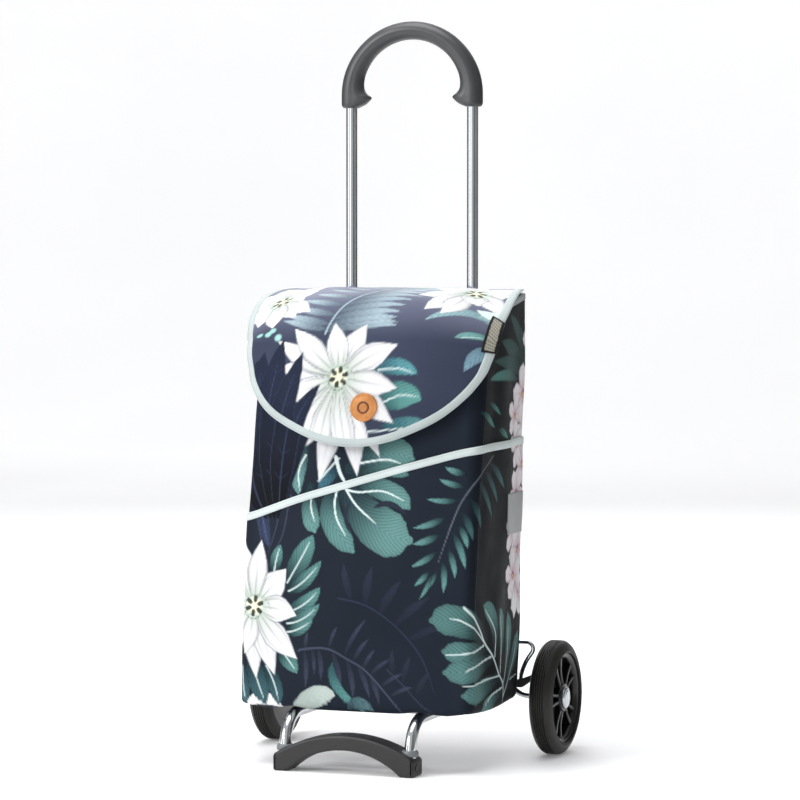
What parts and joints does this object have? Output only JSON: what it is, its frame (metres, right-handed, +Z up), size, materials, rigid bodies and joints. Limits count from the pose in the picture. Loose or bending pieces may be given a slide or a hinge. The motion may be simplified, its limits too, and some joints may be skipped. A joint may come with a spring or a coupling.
{
  "type": "shopping trolley",
  "caption": "Upright shopping trolley: bent chrome tube frame with an arched grip and foot, spoked wheels, and a printed fabric bag with a hinged flap.",
  "frame": {"origin": "middle of the footprint, on the floor", "axes": "+Z up, -Y to the front where the foot is, +X to the right as seen from the front; the uprights stand at positive Y"},
  "size_m": [0.4588, 0.3624, 1.03],
  "materials": {
    "badge_leather": "tan leather, debossed ring",
    "binding_tape": "light grey-green woven tape",
    "black_plastic": "black grained moulded plastic",
    "board": "thin stiff board",
    "bush_plastic": "natural nylon",
    "cap_plastic": "silver grey plastic",
    "chrome_tube": "bright chrome plate on steel",
    "grip_plastic": "dark grey moulded plastic, satin",
    "plain_fabric": "woven polyester, plain dark navy",
    "printed_fabric": "woven polyester, dark navy with a flower and leaf print",
    "reflective_patch": "grey reflective fabric",
    "rim_plastic": "glossy black moulded plastic",
    "tyre_rubber": "dark solid rubber with fine grooves",
    "woven_tab": "black woven tab, plain",
    "zinc_steel": "zinc plated steel"
  },
  "bodies": {
    "frame": {"grip": "grip_plastic", "grip_screws": "zinc_steel", "upright_left": "chrome_tube", "upright_right": "chrome_tube", "base_tube_left": "chrome_tube", "base_tube_right": "chrome_tube", "foot": "black_plastic", "foot_screws": "zinc_steel", "cross_rod": "chrome_tube", "base_cross_front": "chrome_tube", "base_cross_rear": "chrome_tube", "axle_bow": "chrome_tube", "axle_left": "chrome_tube", "axle_right": "chrome_tube", "upper_bow": "chrome_tube", "axle_clamp_left": "black_plastic", "axle_clamp_right": "black_plastic", "axle_washers": "zinc_steel", "push_nuts": "zinc_steel"},
    "wheel_left": {"tyre_left": "tyre_rubber", "rim_left": "rim_plastic", "bushes_left": "bush_plastic", "cap_left": "cap_plastic"},
    "wheel_right": {"tyre_right": "tyre_rubber", "rim_right": "rim_plastic", "bushes_right": "bush_plastic", "cap_right": "cap_plastic"},
    "bag": {"bag_front": "printed_fabric", "bag_back": "plain_fabric", "bag_side_left": "printed_fabric", "bag_side_right": "printed_fabric", "bag_bottom": "plain_fabric", "base_board": "board", "front_pocket": "printed_fabric", "pocket_binding": "binding_tape", "side_patch": "reflective_patch", "bag_hooks": "black_plastic"},
    "flap": {"flap": "printed_fabric", "flap_binding": "binding_tape", "badge": "badge_leather", "side_tab": "woven_tab"}
  },
  "joints": [
    {"name": "wheel_left_spin", "type": "hinge", "parent": "frame", "child": "wheel_left", "pos_m": [-0.211, 0.10115, 0.08], "axis": [1, 0, 0], "continuous": true},
    {"name": "wheel_right_spin", "type": "hinge", "parent": "frame", "child": "wheel_right", "pos_m": [0.211, 0.10115, 0.08], "axis": [1, 0, 0], "continuous": true},
    {"name": "bag_lift", "type": "slide", "parent": "frame", "child": "bag", "axis": [0, 0, 1], "range_m": [0, 0.06]},
    {"name": "flap_hinge", "type": "hinge", "parent": "bag", "child": "flap", "pos_m": [0, 0.07485, 0.651], "axis": [-1, 0, 0], "range_deg": [0, 85]}
  ]
}
